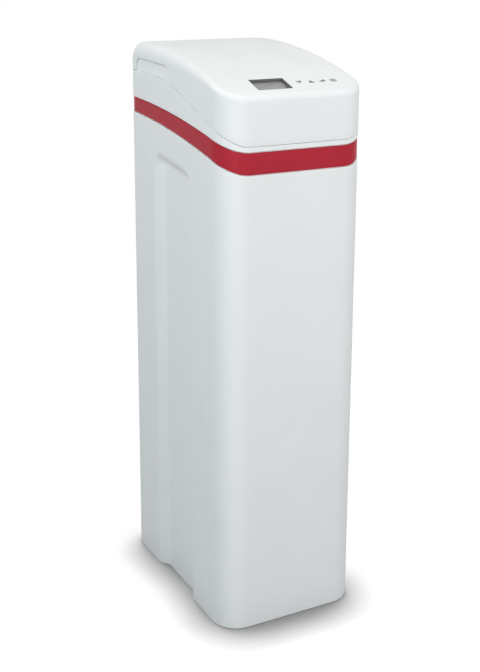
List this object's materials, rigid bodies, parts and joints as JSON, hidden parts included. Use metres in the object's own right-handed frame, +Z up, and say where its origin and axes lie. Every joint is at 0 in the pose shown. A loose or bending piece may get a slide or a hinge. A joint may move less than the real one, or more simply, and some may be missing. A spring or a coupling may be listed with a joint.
{
  "type": "water softener",
  "caption": "Tall cabinet water softener with a hinged control lid, red trim band, resin vessel with motor valve, and brine well; pipe tails at the rear.",
  "frame": {"origin": "on the floor under the middle of the cabinet's plan", "axes": "+Z up, +X to the right seen from the front, +Y to the rear with the pipe tails"},
  "size_m": [0.31, 0.492, 1.141],
  "materials": {
    "white_shell": "satin moulded white plastic with a slight blue-grey cast",
    "red_band": "glossy dark red moulded plastic",
    "steel": "plain zinc-plated or stainless steel",
    "dark_plastic": "dark grey glass-filled plastic",
    "clear_window": "clear plastic window",
    "display_glass": "grey-green display, switched off",
    "circuit_board": "green solder mask",
    "vessel": "wound fibre-reinforced vessel, blue-grey",
    "black_plastic": "black moulded plastic",
    "resin_beads": "amber resin beads",
    "pale_plastic": "natural pale plastic",
    "rubber_seal": "black rubber"
  },
  "bodies": {
    "base": {"cabinet": "white_shell", "trim_band": "red_band", "collar": "white_shell", "hinge_pins": "steel", "resin_tank": "vessel", "tank_boot": "black_plastic", "resin_bed": "resin_beads", "riser_tube": "pale_plastic", "lower_distributor": "pale_plastic", "upper_distributor": "pale_plastic", "valve_body": "dark_plastic", "base_seal": "rubber_seal", "valve_cap": "dark_plastic", "cap_screws": "steel", "inlet_tail": "pale_plastic", "outlet_tail": "pale_plastic", "union_nuts": "black_plastic", "drain_elbow": "black_plastic", "injector_cover": "black_plastic", "injector_screws": "steel", "drive_plate": "dark_plastic", "drive_motor": "steel", "drive_cover": "black_plastic", "cover_screws": "steel", "brine_nut": "black_plastic", "brine_line": "pale_plastic", "brine_well": "pale_plastic", "brine_valve": "black_plastic", "pickup_tube": "pale_plastic", "air_check": "black_plastic", "overflow_elbow": "black_plastic", "overflow_nut": "black_plastic", "power_inlet": "black_plastic", "rear_plate": "white_shell", "plate_screws": "steel", "salt_grid": "pale_plastic"},
    "lid": {"lid": "white_shell", "display_frame": "dark_plastic", "display_window": "clear_window", "lcd_panel": "display_glass", "control_board": "circuit_board", "board_screws": "steel"},
    "key_down": {"key_down": "white_shell"},
    "key_up": {"key_up": "white_shell"},
    "key_return": {"key_return": "white_shell"},
    "key_menu": {"key_menu": "white_shell"},
    "drive": {"drive_gear": "pale_plastic", "valve_rotor": "pale_plastic"},
    "idler": {"idler_gear": "pale_plastic"},
    "pinion": {"motor_pinion": "steel"},
    "float": {"float": "pale_plastic", "float_rod": "steel"},
    "well_cap": {"brine_well_cap": "black_plastic"},
    "ball": {"check_ball": "pale_plastic"}
  },
  "joints": [
    {"name": "lid_hinge", "type": "hinge", "parent": "base", "child": "lid", "pos_m": [0, 0.237, 1.08547], "axis": [-1, 0, 0], "range_deg": [0, 85]},
    {"name": "key_down_press", "type": "slide", "parent": "lid", "child": "key_down", "axis": [0, 0.326, -0.9454], "range_m": [0, 0.0008], "stiffness_N_per_m": 800},
    {"name": "key_up_press", "type": "slide", "parent": "lid", "child": "key_up", "axis": [0, 0.326, -0.9454], "range_m": [0, 0.0008], "stiffness_N_per_m": 800},
    {"name": "key_return_press", "type": "slide", "parent": "lid", "child": "key_return", "axis": [0, 0.326, -0.9454], "range_m": [0, 0.0008], "stiffness_N_per_m": 800},
    {"name": "key_menu_press", "type": "slide", "parent": "lid", "child": "key_menu", "axis": [0, 0.326, -0.9454], "range_m": [0, 0.0008], "stiffness_N_per_m": 800},
    {"name": "drive_spin", "type": "hinge", "parent": "base", "child": "drive", "pos_m": [0, 0.07, 0.979], "axis": [0, 0, 1], "continuous": true},
    {"name": "idler_spin", "type": "hinge", "parent": "base", "child": "idler", "pos_m": [-0.04455, 0.02545, 0.979], "axis": [0, 0, 1], "continuous": true},
    {"name": "pinion_spin", "type": "hinge", "parent": "base", "child": "pinion", "pos_m": [-0.04455, -0.00605, 0.979], "axis": [0, 0, 1], "continuous": true},
    {"name": "float_rise", "type": "slide", "parent": "base", "child": "float", "axis": [0, 0, 1], "range_m": [0, 0.035]},
    {"name": "well_cap_lift", "type": "slide", "parent": "base", "child": "well_cap", "axis": [0, 0, 1], "range_m": [0, 0.04]},
    {"name": "ball_lift", "type": "slide", "parent": "base", "child": "ball", "axis": [0, 0, 1], "range_m": [0, 0.012]}
  ],
  "couplings": [
    {"joint": "idler_spin", "follows": "drive_spin", "ratio": -2},
    {"joint": "pinion_spin", "follows": "drive_spin", "ratio": 4}
  ]
}
